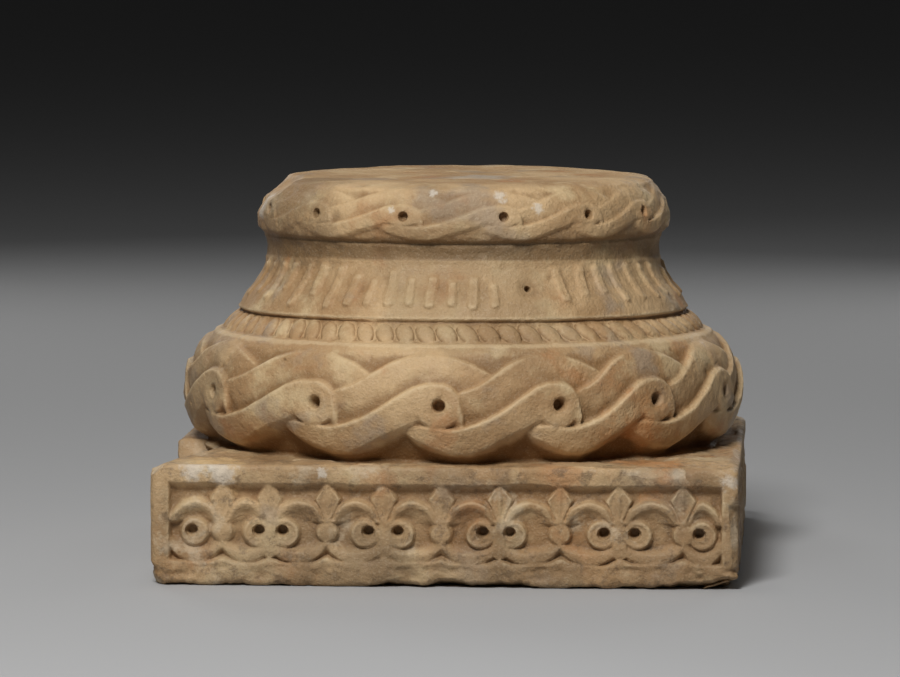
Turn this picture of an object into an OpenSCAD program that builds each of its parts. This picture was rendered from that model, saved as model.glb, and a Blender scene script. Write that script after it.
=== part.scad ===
// Column base carved from one block of marble: a square plinth with a frieze
// of palmettes, a torus carved with a two-strand plait, a cable moulding, a
// scotia with a band of shallow strokes, and a smaller plaited torus under
// the flat bed that carries the shaft.  Millimetres, +Z up, front towards -Y,
// origin at the centre of the underside.

/* [Plinth] */
// Width and depth of the square plinth
plinth_w = 420; // [330:5:520]
// Height of the plinth
plinth_h = 88; // [70:1:110]
// Radius of the worn vertical corners
corner_r = 8; // [4:1:12]
// Depth of the carved panels
panel_depth = 7; // [4:0.5:10]
// Plain margin at both ends of a panel
margin_side = 14; // [12:1:24]
// Plain margin above a panel
margin_top = 13; // [8:1:18]
// Plain margin below a panel
margin_foot = 17.5; // [10:0.5:20]

/* [Frieze of palmettes] */
// How far the palmettes stay behind the face of the plinth
frieze_inset = 1; // [0.5:0.5:2]
// Width of a leaf
leaf_w = 14; // [10:0.5:18]
// Width of the stems and of the leaves' feet
stem_w = 5; // [3:0.5:7]
// Width of the arches between the leaves
arch_w = 5; // [4:0.5:8]
// Width of the hanging loops
loop_w = 8; // [5:0.5:9]
// Radius of the volutes
volute_r = 9.5; // [7:0.5:10.5]
// Radius of the drilled centres of the volutes
drill_r = 4; // [2:0.5:5]
// Radius of the discs
disc_r = 6.8; // [5:0.2:9]

/* [Lower torus] */
// How far the torus stays inside the face of the plinth
torus_inset = 0.5; // [0.5:0.5:20]
// Height of the lower torus
torus_h = 75; // [60:1:92]
// How far the lower torus swells beyond its edges
torus_swell = 30; // [20:1:36]
// Depth of the carving between the plies of the lower torus
torus_relief = 11; // [6:0.5:13]
// Width of one ply of the lower plait
torus_ply = 16.5; // [12:0.5:19]
// Number of drilled eyes in each plait
eyes = 14; // [11:1:17]
// Radius of the drilled eyes
eye_r = 4.4; // [2.5:0.1:5.5]
// Depth of the drilled eyes
eye_depth = 18; // [10:1:25]

/* [Cable moulding] */
// How far the cable moulding is set in from the torus
cable_inset = 28.5; // [24:0.5:40]
// Height of the plain band under the cable
band_h = 5; // [3:0.5:9]
// Height of the cable moulding
cable_h = 16; // [12:1:20]
// Number of twists in the cable
twists = 72; // [56:1:84]

/* [Scotia and neck] */
// How far the neck is set in from the foot of the cable
neck_inset = 33.5; // [26:0.5:38]
// Height of the scotia
scotia_h = 42; // [32:1:55]
// Number of strokes round the scotia
strokes = 34; // [20:1:40]
// How far the strokes stand out of the scotia
stroke_relief = 3; // [1.5:0.5:4]
// Height of the hollow neck above the scotia
neck_h = 17; // [12:1:24]

/* [Upper torus and bed] */
// How far the upper torus swells beyond the neck
top_swell = 8.5; // [5:0.5:12]
// Height of the upper torus
top_torus_h = 36; // [30:1:45]
// Depth of the carving between the plies of the upper torus
top_relief = 6; // [3:0.5:7]
// Width of one ply of the upper plait
top_ply = 8; // [6:0.5:9.5]
// Height of the flat bed above the upper torus
bed_h = 5; // [3:0.5:10]

/* [Hidden] */
marble = [0.70, 0.60, 0.46];

// Radii of the mouldings, each set in from the one below
torus_r = plinth_w / 2 - torus_inset;
cable_r = torus_r - cable_inset;
neck_r = cable_r - neck_inset;
top_torus_r = neck_r + top_swell;

// Levels of the mouldings, from the floor up
z_torus = plinth_h;
z_band = z_torus + torus_h;
z_cable = z_band + band_h;
z_scotia = z_cable + cable_h;
z_neck = z_scotia + scotia_h;
z_top_torus = z_neck + neck_h;
z_bed = z_top_torus + top_torus_h;

// Eyes of the two plaits where the carver set them out on the front, in
// degrees from the front towards +X; the rest are spaced evenly round the back
lower_front = [-58, -27, -1, 23.5, 46];
upper_front = [-41, -13, 15, 40.5, 64.5];
eye_level = 0.55;               // height of the eyes, as a share of the torus
columns = round(126 / eyes);    // grid columns between two eyes
lower_rows = 15;
upper_rows = 10;

// Panel of one side, and where the palmettes stand in it, as shares of its half width
panel_w = plinth_w - 2 * margin_side;
panel_h = plinth_h - margin_top - margin_foot;
tips = [for (share = [-0.81, -0.637, -0.423, -0.213, -0.009, 0.206, 0.427, 0.641, 0.872]) share * panel_w / 2];
stations = concat([-panel_w / 2], tips, [panel_w / 2]);
eye_line = margin_foot + panel_h * 0.39;
end_volute = panel_w / 2 - volute_r - 5;
volutes = concat(
    [-end_volute],
    [for (i = [1 : 2 : 7], side = [-1, 1]) tips[i] + side * (volute_r + 0.5)],
    [end_volute]
);

function lerp(a, b, t) = a + (b - a) * t;

function eye_angles(front) =
    let (shown = len(front), last = front[shown - 1])
    let (gap = (360 - last + front[0]) / (eyes - shown + 1))
    concat(front, [for (k = [1 : eyes - shown]) last + k * gap]);

// Angle of place u along the plait, where each whole number is an eye
function plait_angle(angles, u) =
    let (k = floor(u))
    lerp(angles[k], k + 1 < eyes ? angles[k + 1] : angles[0] + 360, u - k);

// Height, 0 to 1, of two plies side by side, at distance d from their joint
function strand_height(d, ply) =
    let (edge = max(0, min(1, (ply - abs(d)) / (0.45 * ply))))
    sin(90 * edge) * (1 - 0.3 * max(0, 1 - 3 * abs(d) / ply));

// Height of the plait at place u along it and y above its middle line.  The
// strand that rises to the next eye always passes over the one that falls.
function plait_height(u, y, ply, swing, pitch) =
    let (f = u - floor(u), wide = ply * lerp(0.82, 1.1, sin(180 * f)))
    let (lean = atan(PI * swing * sin(180 * f) / pitch))
    let (rise = (y + swing * cos(180 * f)) * cos(lean))
    let (fall = (y - swing * cos(180 * f)) * cos(lean))
    max(strand_height(rise, wide), 0.6 * strand_height(fall, wide));

// One ring of the block with a plaited surface.  Its first and last rows are
// true rings, so that it lies flat against the mouldings above and below.
module plaited_ring(z0, h, rows, angles, outline, ply, relief) {
    n = eyes * columns;
    swing = ply + eye_r * 0.7;
    pitch = 2 * PI * outline(0.5) / eyes;
    points = [
        for (j = [0 : rows], i = [0 : n - 1])
            let (t = j / rows, u = i / columns, y = (t - eye_level) * h)
            let (edge = j == 0 || j == rows)
            let (carved = edge ? 0 : plait_height(u, y, ply, swing, pitch))
            let (r = outline(t) - relief * (1 - carved), a = plait_angle(angles, u))
            [r * sin(a), -r * cos(a), z0 + h * t]
    ];
    sides = [
        for (j = [0 : rows - 1], i = [0 : n - 1])
            let (k = (i + 1) % n, p = j * n, q = p + n)
            each [[p + i, q + i, q + k], [p + i, q + k, p + k]]
    ];
    foot = [for (i = [0 : n - 1]) i];
    head = [for (i = [n - 1 : -1 : 0]) rows * n + i];
    polyhedron(points = points, faces = concat([foot], sides, [head]));
}

// Outlines of the two tori from foot (0) to head (1), before they are carved
lower_outline = function (t)
    torus_r - torus_swell * (1 - sqrt(1 - pow((t - 0.453) / 0.587, 2)));
upper_outline = function (t)
    top_torus_r - 38 * (1 - sqrt(1 - pow((t - 0.2) / 1.03, 2)));

// Drilled eyes, square to the surface
module eye_holes(angles, z, r) {
    for (a = angles)
        rotate([0, 0, a])
            translate([0, -r - 5, z])
                rotate([-90, 0, 0])
                    cylinder(r = eye_r, h = eye_depth + 5, $fn = 24);
}

// Flat break across the block at a point, facing azimuth az and rising by tilt
module broken(point, az, tilt, long, high) {
    translate(point)
        rotate([0, -tilt, az])
            translate([0, -long / 2, -high / 2])
                cube([60, long, high]);
}

// Outline of the plinth, a square with worn corners
module plinth_outline() {
    c = plinth_w / 2 - corner_r;
    polygon([
        for (q = [0 : 3], s = [0 : 4])
            let (a = 90 * q + 22.5 * s, m = 45 + 90 * q)
            [c * sign(cos(m)) + corner_r * cos(a), c * sign(sin(m)) + corner_r * sin(a)]
    ]);
}

// Strip of stone along a line of points, drawn as a flat band
module strip(path, wide) {
    n = len(path);
    normals = [
        for (i = [0 : n - 1])
            let (d = path[min(i + 1, n - 1)] - path[max(i - 1, 0)])
            [-d[1], d[0]] / norm(d)
    ];
    polygon(concat(
        [for (i = [0 : n - 1]) path[i] + normals[i] * wide / 2],
        [for (i = [n - 1 : -1 : 0]) path[i] - normals[i] * wide / 2]
    ));
}

// Pointed leaf standing at x
module leaf(x) {
    half = [stem_w / 2, stem_w / 2, leaf_w * 0.4, leaf_w / 2, leaf_w * 0.34];
    level = [0.46, 0.58, 0.69, 0.79, 0.88];
    polygon(concat(
        [for (s = [0 : 4]) [x + half[s], margin_foot + panel_h * level[s]]],
        [[x, margin_foot + panel_h * 0.98]],
        [for (s = [4 : -1 : 0]) [x - half[s], margin_foot + panel_h * level[s]]]
    ));
}

// Frieze of palmettes seen from the front, x across and y up
module frieze() {
    for (x = tips) leaf(x);
    // discs under every other palmette, from the first, and stems under the rest
    for (i = [0 : 2 : 8]) translate([tips[i], eye_line - 1]) circle(r = disc_r, $fn = 24);
    for (i = [1 : 2 : 7])
        translate([tips[i] - stem_w / 2, margin_foot]) square([stem_w, panel_h * 0.5]);
    for (x = volutes) translate([x, eye_line]) circle(r = volute_r, $fn = 24);
    // an arch and a hanging loop between every two neighbours, and at both ends
    for (i = [0 : len(stations) - 2]) {
        mid = (stations[i] + stations[i + 1]) / 2;
        reach = (stations[i + 1] - stations[i]) / 2;
        arch_foot = margin_foot + panel_h * 0.5;
        loop_foot = margin_foot + panel_h * 0.34;
        strip([for (a = [0 : 22.5 : 180]) [mid + reach * cos(a), arch_foot + panel_h * 0.2 * sin(a)]], arch_w);
        strip([for (a = [180 : 22.5 : 360]) [mid + reach * cos(a), loop_foot + panel_h * 0.24 * sin(a)]], loop_w);
    }
}

// Sunk panel of one side of the plinth, with a slope under its upper margin
module panel() {
    face = -plinth_w / 2;
    head = plinth_h - margin_top;
    translate([-panel_w / 2, 0, 0])
        rotate([90, 0, 90])
            linear_extrude(height = panel_w)
                polygon([
                    [face - 1, margin_foot], [face, margin_foot], [face + panel_depth, margin_foot + 2],
                    [face + panel_depth, head - 10], [face, head], [face - 1, head]
                ]);
}

module plinth() {
    half_w = plinth_w / 2;
    difference() {
        union() {
            difference() {
                linear_extrude(height = plinth_h) plinth_outline();
                for (side = [0 : 3]) rotate([0, 0, 90 * side]) panel();
            }
            for (side = [0 : 3])
                rotate([0, 0, 90 * side])
                    translate([0, -half_w + panel_depth + 1, 0])
                        rotate([90, 0, 0])
                            linear_extrude(height = panel_depth + 1 - frieze_inset) frieze();
        }
        // drilled centres of the volutes
        for (side = [0 : 3], x = volutes)
            rotate([0, 0, 90 * side])
                translate([x, -half_w - 1, eye_line])
                    rotate([-90, 0, 0])
                        cylinder(r = drill_r, h = panel_depth + 5, $fn = 24);
        // corners and edges lost from the plinth
        broken([-half_w + 8, -half_w + 8, plinth_h - 6], 225, 40, 80, 80);
        broken([-half_w + 4, -half_w + 65, plinth_h - 4], 180, 45, 90, 30);
        broken([half_w - 5, -half_w + 5, plinth_h * 0.43], -45, 0, 40, plinth_h * 0.4);
        broken([half_w - 14, half_w - 14, plinth_h - 14], 45, 38, 120, 120);
    }
}

module lower_torus() {
    angles = eye_angles(lower_front);
    difference() {
        plaited_ring(z_torus, torus_h, lower_rows, angles, lower_outline, torus_ply, torus_relief);
        eye_holes(angles, z_torus + torus_h * eye_level, torus_r);
    }
}

// Plain band and cable, with a groove between every two twists
module cable() {
    head_r = cable_r - cable_h * 0.84;
    difference() {
        rotate_extrude($fn = 120)
            polygon([
                [0, z_band], [lower_outline(1) - torus_relief - 2, z_band], [cable_r - 2, z_band + 2],
                [cable_r - 2, z_cable - 1],
                [cable_r, z_cable], [cable_r - cable_h * 0.14, z_cable + cable_h * 0.4],
                [cable_r - cable_h * 0.44, z_cable + cable_h * 0.8], [head_r, z_scotia], [0, z_scotia]
            ]);
        for (k = [0 : twists - 1])
            rotate([0, 0, 360 * k / twists])
                translate([0, -cable_r + cable_h * 0.31, z_cable + cable_h / 2])
                    rotate([-40, 0, 0])
                        rotate([0, -28, 0])
                            rotate([0, 0, 45])
                                cube([3.4, 3.4, 2 * cable_h], center = true);
    }
}

// Hollow of the scotia, standing out by a little for the strokes
function scotia_points(out) = [
    for (s = [0 : 6])
        let (t = s / 6)
        [lerp(cable_r - cable_h * 0.84, neck_r + 1, sin(90 * t)) - 1 + out, z_scotia + scotia_h * 0.9 * t]
];

module scotia() {
    crest = z_scotia + scotia_h * 0.9;
    rotate_extrude($fn = 120)
        polygon(concat(
            [[0, z_scotia]], scotia_points(0),
            [[neck_r + 3, crest + 1], [neck_r + 3, z_neck], [0, z_neck]]
        ));
    intersection() {
        rotate_extrude($fn = 120)
            polygon(concat([[neck_r - 10, z_scotia + 0.5]], scotia_points(stroke_relief), [[neck_r - 10, crest]]));
        for (k = [0 : strokes - 1]) stroke(k);
    }
}

// One upright stroke, and on most of them a short bar to one side
module stroke(k) {
    low = scotia_h * (0.12 + 0.08 * sin(97 * k));
    high = scotia_h * (0.7 + 0.12 * sin(151 * k));
    rotate([0, 0, 360 * k / strokes + 2 * sin(83 * k)])
        translate([0, -cable_r, z_scotia + low]) {
            translate([-2.5, 0, 0]) cube([5, 60, high - low]);
            if (k % 3 > 0) translate([0, 0, (high - low) * (k % 2) * 0.4]) cube([12, 60, 6]);
        }
}

module neck() {
    rotate_extrude($fn = 120)
        polygon([
            [0, z_neck], [neck_r + 3, z_neck], [neck_r - 0.5, z_neck + 3],
            [neck_r - 0.5, z_top_torus - 3], [upper_outline(0) - top_relief - 1.5, z_top_torus], [0, z_top_torus]
        ]);
}

module upper_torus() {
    angles = eye_angles(upper_front);
    difference() {
        plaited_ring(z_top_torus, top_torus_h, upper_rows, angles, upper_outline, top_ply, top_relief);
        eye_holes(angles, z_top_torus + top_torus_h * eye_level, top_torus_r);
        // shoulder lost on the left
        broken([-top_torus_r + 19, 0, z_bed - 4], 190, 52, 180, 90);
    }
}

// Flat bed for the shaft, with its edge broken away in a slope
module bed() {
    foot_r = upper_outline(1) - top_relief - 2;
    difference() {
        rotate_extrude($fn = 120)
            polygon([[0, z_bed], [foot_r, z_bed], [foot_r - 5, z_bed + bed_h], [0, z_bed + bed_h]]);
        broken([-top_torus_r + 19, 0, z_bed - 4], 190, 52, 180, 90);
    }
}

module column_base() {
    color(marble) union() {
        plinth();
        lower_torus();
        cable();
        scotia();
        neck();
        upper_torus();
        bed();
    }
}

column_base();
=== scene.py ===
# %% [markdown]
# # A carved marble column base
#
# The object is one block of marble: a square plinth with a frieze of pointed
# leaves, a plaited torus, a cable moulding, a scotia with shallow strokes, a
# short neck and a smaller plaited torus with a flat bed for the shaft.  The
# lesson works as a carver would: it turns the blank, cuts the ribbons, breaks
# what time has broken, drills the eyes, and then stains the stone.

# %% Load the fixed frame
import math
import bpy
import numpy as np
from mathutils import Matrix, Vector


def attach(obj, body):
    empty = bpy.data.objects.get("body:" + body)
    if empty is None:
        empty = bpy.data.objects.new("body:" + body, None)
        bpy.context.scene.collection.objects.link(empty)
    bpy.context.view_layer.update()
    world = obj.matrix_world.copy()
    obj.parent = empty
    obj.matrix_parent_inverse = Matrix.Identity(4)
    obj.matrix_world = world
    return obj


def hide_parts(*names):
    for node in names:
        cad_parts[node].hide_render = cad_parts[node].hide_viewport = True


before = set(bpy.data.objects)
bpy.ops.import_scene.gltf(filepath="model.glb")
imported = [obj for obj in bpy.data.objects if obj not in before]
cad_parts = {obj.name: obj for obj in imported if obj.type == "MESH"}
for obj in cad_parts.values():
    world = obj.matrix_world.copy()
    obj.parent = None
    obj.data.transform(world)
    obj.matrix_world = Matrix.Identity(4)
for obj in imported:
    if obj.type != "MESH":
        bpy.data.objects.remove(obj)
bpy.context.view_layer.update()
MM = 0.001

# %% [markdown]
# ## The camera
#
# A long lens from almost four metres keeps the verticals straight, as a
# studio view of stone does.  The camera stands a little to the right of the
# front and looks down by five degrees.

# %% Camera
VIEW_TURN = math.radians(4.15)
VIEW_DIP = math.radians(5.17)
VIEW_FAR = 3.760
VIEW_HIGH = 0.500
VIEW_LEFT = 0.0101
LENS_MM = 200.9
SENSOR_MM = 36.0


def show(name, data):
    """Brings a mesh, a lamp or a lens into the scene."""
    thing = bpy.data.objects.new(name, data)
    bpy.context.scene.collection.objects.link(thing)
    return thing


to_right = Vector((math.cos(VIEW_TURN), math.sin(VIEW_TURN), 0))
to_back = Vector((-math.sin(VIEW_TURN), math.cos(VIEW_TURN), 0))
lens = bpy.data.cameras.new("view")
lens.lens = LENS_MM
lens.sensor_width = SENSOR_MM
lens.clip_end = 50.0
camera = show("view", lens)
camera.location = -VIEW_FAR * to_back - VIEW_LEFT * to_right + Vector((0, 0, VIEW_HIGH))
camera.rotation_euler = (math.pi / 2 - VIEW_DIP, 0, VIEW_TURN)
bpy.context.scene.camera = camera
print("camera at", [round(c, 3) for c in camera.location])

# %% [markdown]
# ## Small tools for shaping stone
#
# Nothing on a hand-cut block is straight.  Everything that wavers here comes
# from one kind of noise: random numbers on a cubic lattice, blended smoothly
# between its points.  The numbers come from arithmetic on the lattice's own
# places, so the stone is the same each time.  The other tools are the
# carver's curves: lines through a few set points, straight or smooth, a soft
# step, a window between two steps, and a blur that wears a surface down.

# %% Noise, curves and blur
# Large primes scatter neighbouring places over the whole range.
PRIME_X, PRIME_Y, PRIME_Z, PRIME_SEED = (
    np.uint32(prime) for prime in (374761393, 668265263, 2246822519, 3266489917))


def lattice(i, j, k, seed):
    """A fixed random number from 0 to 1 for each lattice point."""
    h = i * PRIME_X + j * PRIME_Y + k * PRIME_Z
    h = h + np.uint32(seed) * PRIME_SEED
    h = (h ^ (h >> np.uint32(15))) * PRIME_Z
    h = (h ^ (h >> np.uint32(13))) * PRIME_SEED
    return ((h ^ (h >> np.uint32(16))) & np.uint32(0xFFFF)) / 65535.0


def noise(x, y, z, size, seed):
    """Smooth noise from -1 to 1 with lumps about `size` across."""
    x, y, z = np.broadcast_arrays(x, y, z)
    base = [np.floor(c / size).astype(np.int64) for c in (x, y, z)]
    part = [c / size - b for c, b in zip((x, y, z), base)]
    part = [p * p * (3 - 2 * p) for p in part]
    low = [(b & 0xFFFFFFFF).astype(np.uint32) for b in base]
    total = np.zeros(x.shape)
    with np.errstate(over="ignore"):
        for corner in np.ndindex(2, 2, 2):
            weight = 1.0
            for p, far in zip(part, corner):
                weight = weight * (p if far else 1 - p)
            places = [b + np.uint32(far) for b, far in zip(low, corner)]
            total += weight * lattice(*places, seed)
    return 2 * total - 1


def rough(x, y, z, size, seed, octaves=3):
    """Several sizes of noise on top of each other."""
    total, weight, gain = 0, 0, 1.0
    for o in range(octaves):
        total = total + gain * noise(x, y, z, size / 2 ** o, seed + 17 * o)
        weight += gain
        gain *= 0.5
    return total / weight


def step(x, low, high):
    """0 below low, 1 above high, and a soft ramp between."""
    t = np.clip((x - low) / (high - low), 0, 1)
    return t * t * (3 - 2 * t)


def window(x, start, full, fading, end):
    """1 from full to fading, 0 outside start and end, soft ramps between."""
    return step(x, start, full) * step(-x, -end, -fading)


def through(points, x):
    """Height at x of the straight lines through set points."""
    return np.interp(x, *np.transpose(points))


def curve(points, soften=0.02, count=900):
    """A smooth line through set points, as a function of their first value."""
    xs, ys = np.array(points, float).T
    grid = np.linspace(xs[0], xs[-1], count)
    line = np.interp(grid, xs, ys)
    reach = max(1, int(soften * count / (xs[-1] - xs[0])))
    kernel = np.exp(-0.5 * (np.arange(-3 * reach, 3 * reach + 1) / reach) ** 2)
    kernel /= kernel.sum()
    padded = np.concatenate([
        line[0] - (line[1] - line[0]) * np.arange(3 * reach, 0, -1),
        line,
        line[-1] + (line[-1] - line[-2]) * np.arange(1, 3 * reach + 1),
    ])
    line = np.convolve(padded, kernel, mode="valid")
    return lambda x: np.interp(x, grid, line)


def blur(field, sigma):
    """Wears a field of heights down; columns close into a ring."""
    reach = int(3 * sigma) + 1
    kernel = np.exp(-0.5 * (np.arange(-reach, reach + 1) / sigma) ** 2)
    kernel /= kernel.sum()
    wide = np.concatenate([field[:, -reach:], field, field[:, :reach]], axis=1)
    out = sum(w * wide[:, i:i + field.shape[1]] for i, w in enumerate(kernel))
    tall = np.pad(out, ((reach, reach), (0, 0)), mode="edge")
    return sum(w * tall[i:i + field.shape[0]] for i, w in enumerate(kernel))


print("noise of one point:", round(float(noise(np.array([3.0]), 4.0, 5.0, 7.0, 1)[0]), 4))

# %% [markdown]
# ## The plait
#
# Both tori carry the same plait.  Each strand is two flat plies side by side.
# The upper ply starts under one eye, climbs, arches over the next eye and
# falls until the next strand covers it.  The lower ply starts as a pointed
# tip, swings along the foot of the torus, climbs beside the first and ends as
# a round boss with a drilled eye.  It could be modelled as bent ribbons, but
# cut stone has no undersides, so the plait is written as a depth: at each
# place on the torus, the highest ply wins.  Places are given as `f`, in eyes
# along the plait, and `y`, in millimetres above the line of eyes.

# %% Lines of the plait
upper_edge = curve([
    (-1.30, -17), (-1.15, -9), (-1.0, -1), (-0.9, 5.5), (-0.83, 9.5), (-0.69, 13.5), (-0.54, 21.5),
    (-0.41, 29), (-0.25, 34), (-0.08, 35.4), (0.06, 34.8), (0.27, 29), (0.46, 21), (0.56, 15), (0.75, 2),
], 0.022)
lower_edge = curve([
    (-1.30, -17.5), (-1.2, -15.2), (-1.14, -15), (-1.05, -15.8), (-0.96, -17), (-0.86, -17), (-0.75, -14.6),
    (-0.6, -9.8), (-0.45, -2), (-0.3, 7.2), (-0.2, 12.8), (-0.105, 15.4), (0.0, 15.6), (0.045, 14.8),
    (0.11, 12), (0.16, 7.5), (0.18, 2), (0.2, -8),
], 0.02)
ridge_line = curve([
    (-1.30, -18), (-1.2, -23.5), (-1.05, -30), (-0.9, -35), (-0.75, -36), (-0.6, -29.5), (-0.45, -21.6),
    (-0.35, -17.5), (-0.226, -12.5), (-0.15, -10), (0.2, -10),
], 0.025)
upper_level = curve([
    (-1.30, -7), (-1.12, -3.6), (-0.95, -2.2), (-0.7, -1.6), (-0.4, -0.4), (0, 0), (0.25, -1.2), (0.45, -3.8),
    (0.56, -6.5), (0.75, -9),
], 0.05)
lower_level = curve([
    (-1.30, -9), (-1.24, -5.5), (-1.12, -2.4), (-0.9, -0.8), (-0.6, -0.2), (-0.2, -0.2), (0.1, -0.6),
    (0.2, -1.5),
], 0.04)
# Ends of the plies are in eyes; the rest is in millimetres, and walls are slopes.
EYE_PITCH = 88.0
PLY_START, UPPER_END, LOWER_END = -1.3, 0.75, 0.2
PLY_WALL = 3.6
BOSS_R, BOSS_WALL = 15.4, 2.2
DISH_R, DISH_DEEP = 9.5, 2.6
NOWHERE = -60.0


def square_on(edge, f):
    """What turns a height under a slanting edge into a distance square to it."""
    slope = (edge(f + 0.02) - edge(f - 0.02)) / (0.04 * EYE_PITCH)
    return 1 / np.sqrt(1 + slope ** 2)


def ply(f, y, edge, level, end, width, fall, bevel):
    """Depth of one ply: a wall, a sloping face and the flank beyond it."""
    away = (edge(f) - y) * square_on(edge, f)
    face = level(f) - fall * away + 0.3 * np.exp(-((away - 1.2) / 1.6) ** 2)
    flank = level(f) - fall * width - bevel * (away - width)
    wall = level(f) + PLY_WALL * away
    depth = np.minimum(np.minimum(face, flank), wall)
    return np.where((f > PLY_START) & (f < end), depth, NOWHERE)


def plait(u, y):
    """Depth of the plait below the torus, in millimetres, as a negative height."""
    u, y = np.broadcast_arrays(u, y)
    best = np.full(u.shape, NOWHERE)
    for jump in (-1, 0, 1, 2):
        f = u - (np.floor(u) + jump)
        width = (upper_edge(f) - lower_edge(f)) * square_on(upper_edge, f) + 3
        width = np.where(f > 0.1, 26.0, width)
        arch = ply(f, y, upper_edge, upper_level, UPPER_END, width, 0.2, 2.4)
        width = np.maximum((lower_edge(f) - ridge_line(f)) * square_on(lower_edge, f), 0.5)
        tail = ply(f, y, lower_edge, lower_level, LOWER_END, width, 0.1, 1.15)
        radius = np.hypot(f * EYE_PITCH, y)
        boss = np.minimum(-0.9 - 0.03 * radius, -0.9 - BOSS_WALL * (radius - BOSS_R))
        boss = boss - DISH_DEEP * step(DISH_R - radius, 0, 5.5)
        for field in (arch, tail, boss):
            best = np.maximum(best, field)
    return best


def eye_line(front, count=14):
    """Angles of the eyes: as cut on the front, evenly spaced round the back."""
    gap = (360 - front[-1] + front[0]) / (count - len(front) + 1)
    return np.array(list(front) + [front[-1] + gap * k for k in range(1, count - len(front) + 1)])


def along(angles, theta):
    """Place along the plait, in eyes, of an angle in degrees."""
    closed = np.append(angles, angles[0] + 360)
    turned = (theta - angles[0]) % 360 + angles[0]
    return np.interp(turned, closed, np.arange(len(closed)))


lower_eyes = eye_line([-57.9, -27.0, -0.9, 23.4, 46.1])
upper_eyes = eye_line([-40.7, -12.7, 15.0, 40.6, 64.4])
print("eyes of the lower plait:", lower_eyes.round(1))

# %% [markdown]
# ## The turned blank
#
# Above the plinth the block was turned before it was carved.  Its outline is
# two bulging tori with a list of heights and radii between them.  A grid of
# rows (one for each step up the outline) and columns (one for each angle) is
# cheap to carve: a carved depth simply shortens the radius.  Columns are
# closer on the front, where the carving is best kept.

# %% Rows and columns of the blank
FINE = 1.0
front_half = np.arange(-105, 105, 0.30 * FINE)
back_half = np.arange(105, 255, 0.55 * FINE)
theta = np.concatenate([front_half, back_half])
theta_rad = np.radians(theta)

Z_PLINTH = 88.0
Z_EYES = 130.0
Z_CABLE = 163.0
Z_SCOTIA = 186.0
Z_UPPER = 243.0
Z_EYES_UP = 261.5
Z_BED = 284.0
SCOTIA_LINE = [
    (163, 192.6), (167, 186.0), (168.2, 184.0), (184.4, 168.0), (185.5, 168.0), (189.6, 166.0),
    (196.2, 161.8), (203, 155.6), (210.7, 150.6), (216, 148.4), (219, 147.8), (221, 148.0),
    (223, 147.0), (230, 146.6), (236, 147.4), (240, 149.6), (242, 152.6), (243, 154.0),
]


def bulge(z, core, swell, middle, half, least):
    """Radius of a torus that swells out from a core."""
    return core + swell * np.sqrt(np.clip(1 - ((z - middle) / half) ** 2, least, 1))


def outline(z):
    """Radius of the uncarved blank at height z."""
    torus = bulge(z, core=182, swell=29.2, middle=122, half=44, least=0.02)
    upper = bulge(z, core=117.5, swell=38, middle=251, half=37, least=0.05)
    between = through(SCOTIA_LINE, z)
    return np.where(z < Z_CABLE, torus, np.where(z < Z_UPPER, between, upper))


def lift(angle, z):
    """How much higher the mouldings run on the front than at the back."""
    share = through([(150, 0), (166, 3.2), (190, 3.6), (226, 9.5), (244, 0)], z)
    return share * ((1 + np.cos(angle)) / 2) ** 3


row_z = np.concatenate([
    np.arange(80, Z_CABLE, 1.0 * FINE), np.arange(Z_CABLE, Z_SCOTIA, 0.8 * FINE),
    np.arange(Z_SCOTIA, Z_UPPER, 1.1 * FINE), np.arange(Z_UPPER, 279.6, 0.85 * FINE),
])
row_r = outline(row_z)
bed_r = np.concatenate([np.array([140.2, 138.2, 135.6, 132.8]), np.arange(130, 6, -2.2 * FINE)])
bed_z = through([(0, 283.7), (122, 283.7), (130, 283.1), (136, 282.0), (140.2, 280.6)], bed_r)
rows = np.concatenate([row_z, bed_z])
radii = np.concatenate([row_r, bed_r])
on_bed = np.arange(len(rows)) >= len(row_z)
print("blank:", len(rows), "rows by", len(theta), "columns")

# %% [markdown]
# ## Cutting the two plaits
#
# The carved depth is taken from the outline.  Between the ribbons the ground
# lies deeper at the foot, where the hollows are dark, than at the head.  The
# upper torus has the same plait at a little under half the size, worn down
# most on the left and somewhat on the right.  Above the lower torus a flat
# channel with two thin uneven lips is cut for the cable.

# %% Carve the tori
T, Z = np.meshgrid(theta_rad, rows)
level = Z - lift(T, Z)
R0 = np.where(on_bed[:, None], radii[:, None], outline(level))
X0 = R0 * np.sin(T)
Y0 = -R0 * np.cos(T)
sway = 1.1 * noise(X0, Y0, 0 * Z, 120, 5)

depth = plait(along(lower_eyes, theta)[None, :], rows[:, None] - Z_EYES - sway)
ground = through([
    (88, -15), (100, -14.5), (118, -11), (140, -8), (150, -6.5), (157, -5.6), (163, -3.4), (167, -0.8),
], rows)
low_cut = np.maximum(depth, ground[:, None])

SMALL = 0.475  # size of the upper plait against the lower
SMALL_DEEP = 0.6  # and its depth
depth = plait(along(upper_eyes, theta)[None, :], (rows[:, None] - Z_EYES_UP - 0.5 * sway) / SMALL)
ground = through([(243, -4.4), (249, -4.6), (256, -4.4), (270, -3.8), (280, -2.4)], rows)
up_cut = np.maximum(depth * SMALL_DEEP, ground[:, None])
worn = 0.4 * window(T, *np.radians([-150, -110, -60, -25]))
worn = worn + 0.25 * window(T, *np.radians([20, 40, 90, 120]))
worn = np.clip(worn + 0.12 + 0.3 * rough(X0, Y0, Z, 60, 8), 0, 0.7)
up_cut = up_cut * (1 - worn) - 1.2 * worn

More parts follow.
